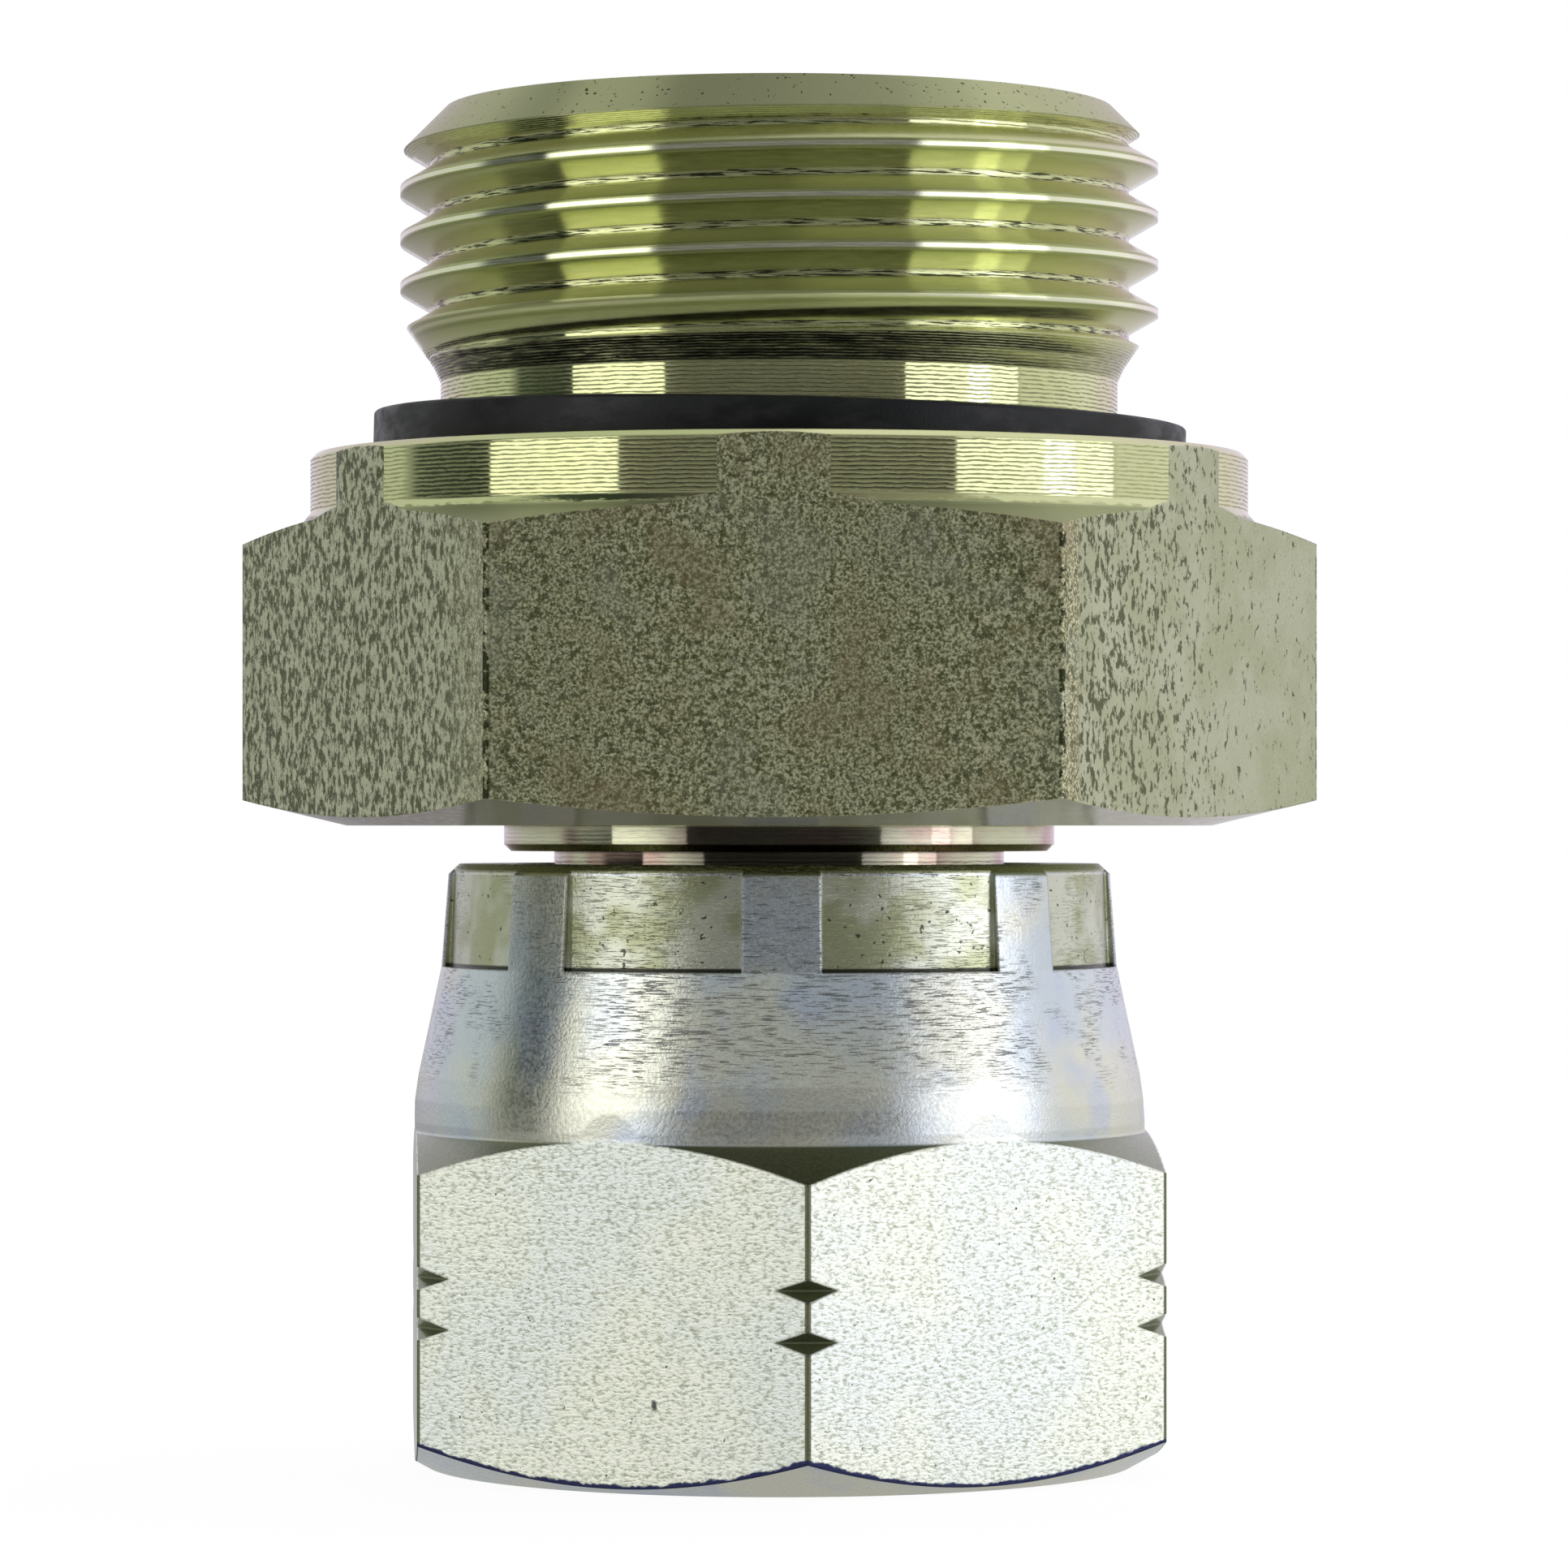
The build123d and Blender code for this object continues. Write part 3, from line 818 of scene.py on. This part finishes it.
below_rim = f.math("SUBTRACT", NUT_LENGTH, f.z)
rib_radius = f.math("MULTIPLY_ADD", below_rim, tan(radians(RIB_SLOPE)), RIB_TOP_RADIUS)
inside_rib = f.math("SUBTRACT", rib_radius, f.radius)
dent_heights = f.window(f.z, DENT_BASE - SOFT, DENT_BASE + SOFT, DENT_TOP - 0.1, DENT_TOP)
dent = f.both(f.band(inside_rib, 0.10, 0.14), dent_heights)
dents = Coat(f, f.tint(f.band(f.noise(2.5, 2, shift=41), 0.4, 0.6), DENT_OLIVE, DENT_PALE))
dents.paint(f.band(f.noise(0.3, 2, shift=13), 0.66, 0.72), DENT_PIT)
# a painted shadow line along the foot of each dent, at its step
dents.paint(f.band(f.z, DENT_BASE + 0.22, DENT_BASE + 0.12), DENT_STEP_SHADOW)
barrel.paint(dent, dents.colour)
barrel.polish(dent, DENT_ROUGHNESS)
f.tell("dents")

# %% [markdown]
# ### Dark zones
# The back rim, under the collar, and the two grooves across the corners get painted shade,
# and the shoulder over the flats is painted dark olive. The flats are painted later and over
# these, so the masks can be plain ranges of heights.

# %% Darken the rim, the shoulder and the grooves
RIM_SHADE = (0.26, 0.27, 0.16)
SHOULDER_OLIVE = (0.24, 0.26, 0.18)
GROOVE_SHADE = (0.24, 0.26, 0.17)
GROOVES_FOOT, GROOVES_TOP = 5.4, 9.8  # mm, round both grooves

shaded_rim = f.band(f.z, DENT_TOP, DENT_TOP + 0.1)
shoulder = f.window(
    f.z, SHOULDER_FOOT, SHOULDER_FOOT + 0.2, SHOULDER_TOP - SOFT, SHOULDER_TOP + SOFT
)
grooves = f.window(f.z, GROOVES_FOOT, GROOVES_FOOT + 0.1, GROOVES_TOP - 0.1, GROOVES_TOP)
# painted shade on the back rim and in the grooves; the shoulder is just darker olive
barrel.paint(shaded_rim, RIM_SHADE)
barrel.paint(shoulder, SHOULDER_OLIVE)
barrel.paint(grooves, GROOVE_SHADE)
f.tell("rim, shoulder and grooves")

# %% [markdown]
# ### Flats of the nut
# They are bar skin again, but paler and finer: an orange peel, wider than tall, with small dark
# pits. The corners get a thin line of painted shade. The left front flat has a nick, too small
# to be worth cutting into the mesh: it is a dark spot round a point, with a ragged edge from
# noise.

# %% Peel the nut's flats
NICK_X, NICK_Z = -5.2, 3.8
NICK_SQUEEZE = (1.7, 0, 0.8)  # taller than wide, at any depth
FLAT_BLUE, FLAT_STRAW = (0.80, 0.84, 0.78), (0.85, 0.87, 0.74)
PEEL_DARK = (0.40, 0.43, 0.33)
NUT_PIT = (0.12, 0.13, 0.10)
NICK = (0.10, 0.11, 0.09)
NUT_CORNER_SHADE = (0.14, 0.15, 0.09)
NUT_FLAT_ROUGHNESS = 0.40

below_barrel = f.band(f.z, SHOULDER_TOP + 0.3, SHOULDER_TOP)
nut_flats = f.both(hexagon_flats(f, NUT_FLATS, NUT_FLAT_TURN), below_barrel)
flat_peel = f.noise(0.15, 3, 0.6, stretch=(1.7, 1.7, 0.8), shift=19)
flat_hue = f.band(f.noise(7.0, 2, shift=53), 0.38, 0.62)
nut_skin = Coat(f, f.tint(flat_hue, FLAT_BLUE, FLAT_STRAW), NUT_FLAT_ROUGHNESS)
nut_skin.paint(f.band(flat_peel, 0.56, 0.30), PEEL_DARK)
nut_skin.paint(f.band(f.noise(0.24, 1, shift=61), 0.75, 0.80), NUT_PIT)

nick_centre = (NICK_X * NICK_SQUEEZE[0], 0, NICK_Z * NICK_SQUEEZE[2])
from_nick = f.vector("DISTANCE", f.vector("MULTIPLY", f.place, NICK_SQUEEZE), nick_centre)
ragged = f.math("MULTIPLY_ADD", f.noise(0.25, 2, 0.6, shift=5), 0.3, from_nick)
nut_skin.paint(f.both(f.band(ragged, 0.40, 0.26), f.band(f.y, 0, -1)), NICK)
# a thin line of painted shade down each corner
nut_skin.paint(f.band(f.radius, NUT_CORNER - 0.09, NUT_CORNER - 0.06), NUT_CORNER_SHADE)
f.tell("nut's flats")

# %% [markdown]
# A dark blue line follows the foot of the flats, where the foot chamfer cuts them in arcs. A
# range of heights would be straight. The chamfer is a cone, so the line goes by the height
# above that cone, which is the height less the cone's own rise. Noise makes the line thicker
# in places. Then the flats go over the barrel, and the nut is dressed.

# %% Draw the foot line and join the nut's zones
FOOT_BLUE = (0.03, 0.035, 0.09)
PEEL_RELIEF = 0.6
SCUFF_RELIEF = 0.6
FLAT_RELIEF = 1.3
NUT_RELIEF = 0.02  # mm

past_foot = f.math("SUBTRACT", f.radius, FOOT_RADIUS)
cone_rise = f.math("MULTIPLY", past_foot, tan(radians(FOOT_SLOPE)))
above_foot = f.math("SUBTRACT", f.z, cone_rise)
uneven = f.math("MULTIPLY_ADD", f.noise(1.2, 3, 0.7, shift=83), 0.5, above_foot)
nut_skin.paint(f.band(uneven, 0.46, 0.36), FOOT_BLUE)

barrel.paint(nut_flats, nut_skin.colour)
barrel.polish(nut_flats, nut_skin.roughness)
barrel_relief = f.math("SUBTRACT", f.both(peel, PEEL_RELIEF), f.both(scuff, SCUFF_RELIEF))
relief = f.mix(nut_flats, barrel_relief, f.both(flat_peel, FLAT_RELIEF))
nut_finish = f.finish(barrel, relief, NUT_RELIEF)
dress("swivel_nut", nut_finish)

# %% [markdown]
# ## Pieces made here
# Two pieces are modelled in this script. Both are round, so both start as a flat section
# beside the axis, which the Spin operator carries round it. These helpers draw such a section
# and turn the result into a piece that rides on a body of the model.

# %% Prepare to make pieces
def section(shape, corners):
    """A flat section in the plane of X and Z, from corners in millimetres."""
    points = [shape.verts.new((x * MM, 0, z * MM)) for x, z in corners]
    return shape.faces.new(points)


def make_piece(name, body, shape, material):
    """Turns a bmesh into a finished piece that rides on a body."""
    mesh = bpy.data.meshes.new(name)
    shape.to_mesh(mesh)
    shape.free()
    mesh.materials.append(material)
    for face in mesh.polygons:
        face.use_smooth = True
    piece = bpy.data.objects.new(name, mesh)
    bpy.context.collection.objects.link(piece)
    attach(piece, body)
    print(name, "has", len(mesh.polygons), "faces")
    return piece


AXIS = {"cent": (0, 0, 0), "axis": (0, 0, 1)}

# %% [markdown]
# ## Thread inside the nut
# The solid keeps the nut's bore plain, at the thread's widest. The thread's ridge winds round
# that wall from below. The Screw modifier could wind it, but Spin with an offset does the same
# in one call and leaves a plain mesh: one small section goes round the axis and rises a little
# with each step. Doubles are merged after it, and the normals are turned outwards.

# %% Wind the ridge
RIDGE_WALL = 13.24
RIDGE_TIP = 12.06
RIDGE_PITCH = 1.814
RIDGE_TURNS = 5
RIDGE_STEPS = 60  # in a turn
RIDGE_START = 0.5  # above the nut's foot
FLANK_RISE = 0.72
TIP_WIDTH = 0.28
DOUBLE = 0.001  # mm between corners that count as one

ridge = bmesh.new()
tip_foot = RIDGE_START + FLANK_RISE
tip_head = tip_foot + TIP_WIDTH
ridge_face = section(
    ridge,
    (
        (RIDGE_WALL, RIDGE_START),
        (RIDGE_TIP, tip_foot),
        (RIDGE_TIP, tip_head),
        (RIDGE_WALL, tip_head + FLANK_RISE),
    ),
)
bmesh.ops.spin(
    ridge,
    geom=[ridge_face, *ridge_face.edges, *ridge_face.verts],
    dvec=(0, 0, RIDGE_PITCH * MM / RIDGE_STEPS),
    angle=2 * pi * RIDGE_TURNS,
    steps=RIDGE_STEPS * RIDGE_TURNS,
    use_merge=False,
    **AXIS,
)
bmesh.ops.remove_doubles(ridge, verts=ridge.verts, dist=DOUBLE * MM)
bmesh.ops.recalc_face_normals(ridge, faces=ridge.faces)
make_piece("nut_thread_ridge", "nut", ridge, nut_finish)

# %% [markdown]
# ## Stud seal
# The rubber ring was pushed over the thread by hand and sits a little askew in its seat: it
# stands prouder on the left. The CAD ring lies flat, so this one takes its place. A torus
# would be round in section, and this ring is flat-sided, so a rectangle is spun into a ring.
# Then the edges that run round it are rounded: the ones whose two ends have the same height
# and the same distance from the axis.

# %% Spin the ring
SEAL_INNER = 14.96
SEAL_OUTER = 17.84
SEAL_HEIGHT = 1.9
SEAL_STEPS = 160
SEAL_ROUNDING = 0.16
ROUNDING_STEPS = 3


def runs_round(edge):
    """True for an edge that follows the ring instead of its section."""
    start, end = (vert.co for vert in edge.verts)
    return abs(start.z - end.z) < 1e-7 and abs(start.xy.length - end.xy.length) < 1e-6


seal = bmesh.new()
seal_face = section(
    seal,
    ((SEAL_INNER, 0), (SEAL_OUTER, 0), (SEAL_OUTER, SEAL_HEIGHT), (SEAL_INNER, SEAL_HEIGHT)),
)
bmesh.ops.delete(seal, geom=[seal_face], context="FACES_ONLY")
outline = [*seal.edges, *seal.verts]
bmesh.ops.spin(seal, geom=outline, angle=2 * pi, steps=SEAL_STEPS, use_merge=True, **AXIS)
bmesh.ops.bevel(
    seal,
    geom=[edge for edge in seal.edges if runs_round(edge)],
    offset=SEAL_ROUNDING * MM,
    offset_type="OFFSET",
    segments=ROUNDING_STEPS,
    profile=0.5,
    affect="EDGES",
    material=-1,
)
bmesh.ops.recalc_face_normals(seal, faces=seal.faces)
print("the ring is", 2 * SEAL_OUTER, "mm across, with", len(seal.faces), "faces")

# %% [markdown]
# The ring is tipped about its right-hand edge, which stays down in the seat, and then lifted
# to the seat's height. Turning the object would do, but every piece's object stays unturned
# here, so that its patterns don't slide, and a matrix moves the mesh instead.

# %% Tip the ring into its seat
SEAL_SEAT = 43.46
SEAL_TIP = 1.24  # degrees

hinge = Vector((SEAL_OUTER * MM, 0, 0))
tip = Matrix.Rotation(radians(SEAL_TIP), 4, "Y")
to_seat = Matrix.Translation((0, 0, SEAL_SEAT * MM))
tip_and_lift = to_seat @ Matrix.Translation(hinge) @ tip @ Matrix.Translation(-hinge)
bmesh.ops.transform(seal, matrix=tip_and_lift, verts=seal.verts)
print("its left edge rises by", round(2 * SEAL_OUTER * sin(radians(SEAL_TIP)), 2), "mm")

# %% [markdown]
# Rubber is nearly black and satin. One flat colour would look like a hole in the picture.
# Handling leaves faint greyish smears and the mould a very fine grain, so its roughness and
# colour vary a little.

# %% Mix the rubber and place the ring
RUBBER_BLACK = (0.003, 0.0035, 0.0035)
RUBBER_SMEARED = (0.012, 0.013, 0.012)
RUBBER_ROUGHNESS = (0.36, 0.55)
RUBBER_GLOSS = 0.3
RUBBER_RELIEF = 0.01  # mm

f = Finish("black_rubber", metallic=0.0, edge_radius=0.08)
f.shader.inputs["Specular IOR Level"].default_value = RUBBER_GLOSS
smear = f.noise(2.2, 3, 0.6, stretch=(1, 1, 0.4))
rubber = Coat(
    f,
    colour=f.tint(f.band(smear, 0.42, 0.68), RUBBER_BLACK, RUBBER_SMEARED),
    roughness=f.band(smear, 0.35, 0.65, *RUBBER_ROUGHNESS),
)
rubber_finish = f.finish(rubber, f.noise(0.12, 2, 0.6), RUBBER_RELIEF)
seal_piece = make_piece("stud_seal", "adapter", seal, rubber_finish)
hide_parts("seal_ring")

# %% [markdown]
# ## The end
